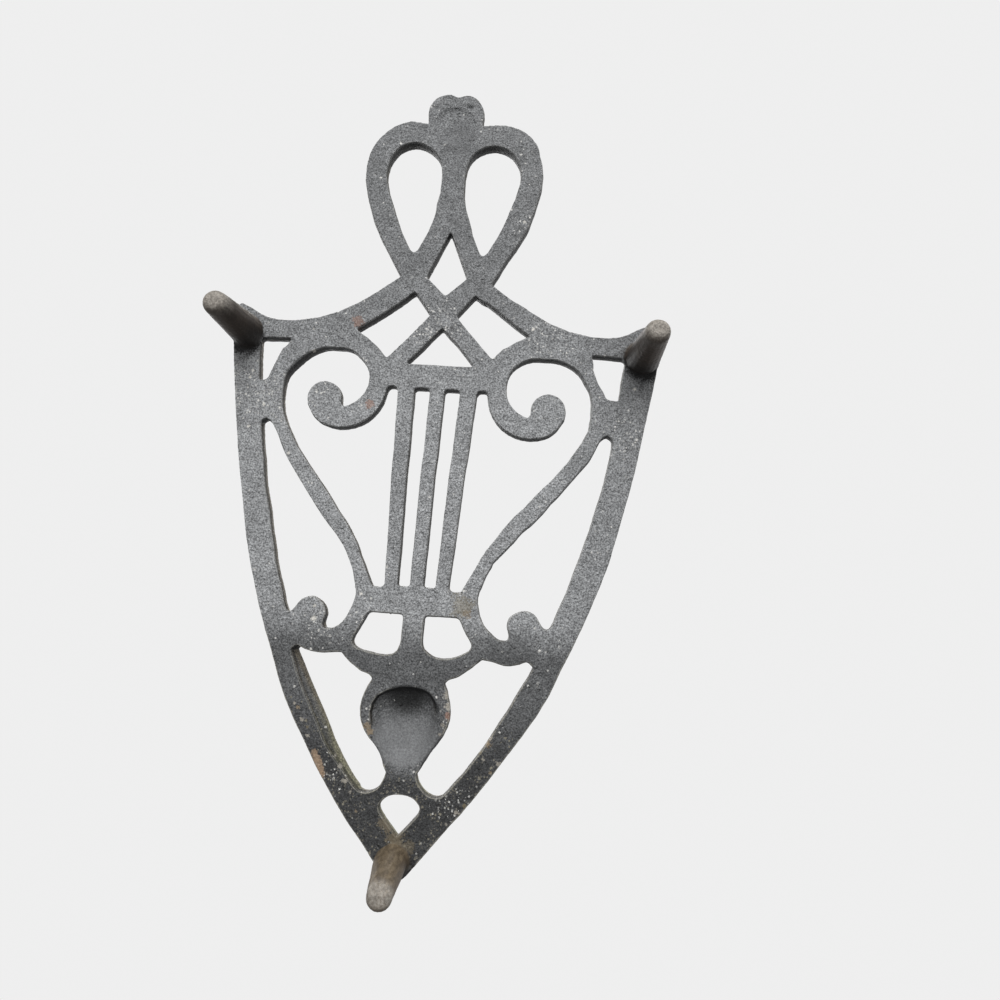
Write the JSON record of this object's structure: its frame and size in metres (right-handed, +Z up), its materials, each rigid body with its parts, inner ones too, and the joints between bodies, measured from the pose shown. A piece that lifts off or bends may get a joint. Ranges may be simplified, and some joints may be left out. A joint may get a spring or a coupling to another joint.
{
  "type": "trivet",
  "caption": "Cast iron trivet: openwork lyre in a shield-shaped rim, pineapple near the tip, looped handle with a finial, on short rounded feet, to hold a hot pot or hang on a wall.",
  "frame": {"origin": "under the middle of the trivet's box, on the surface that its feet stand on", "axes": "+Z up, square to the plate; +Y towards the handle and its finial; +X to the right seen from above with the handle away from the viewer"},
  "size_m": [0.1348, 0.2446, 0.0324],
  "materials": {
    "iron": "sand-cast skin, matt, mid grey, darker towards the tip",
    "worn_iron": "smoother, brown-black, worn to a dull shine at the tips"
  },
  "bodies": {
    "root": {"finial": "iron", "handle_stem": "iron", "handle_loop_right": "iron", "handle_loop_left": "iron", "shoulder_right": "iron", "shoulder_left": "iron", "lyre_arm_right": "iron", "lyre_arm_left": "iron", "lyre_scroll_right": "iron", "lyre_scroll_left": "iron", "rim_right": "iron", "rim_left": "iron", "bracket_right": "iron", "bracket_left": "iron", "string_right": "iron", "string_left": "iron", "crossed_straps": "iron", "lyre_yoke": "iron", "string_centre": "iron", "lyre_base": "iron", "base_stem": "iron", "pineapple_crown": "iron", "pineapple": "iron", "pineapple_point": "iron", "plate_tip": "iron", "foot_right": "worn_iron", "foot_left": "worn_iron", "foot_tip": "worn_iron"}
  },
  "joints": []
}
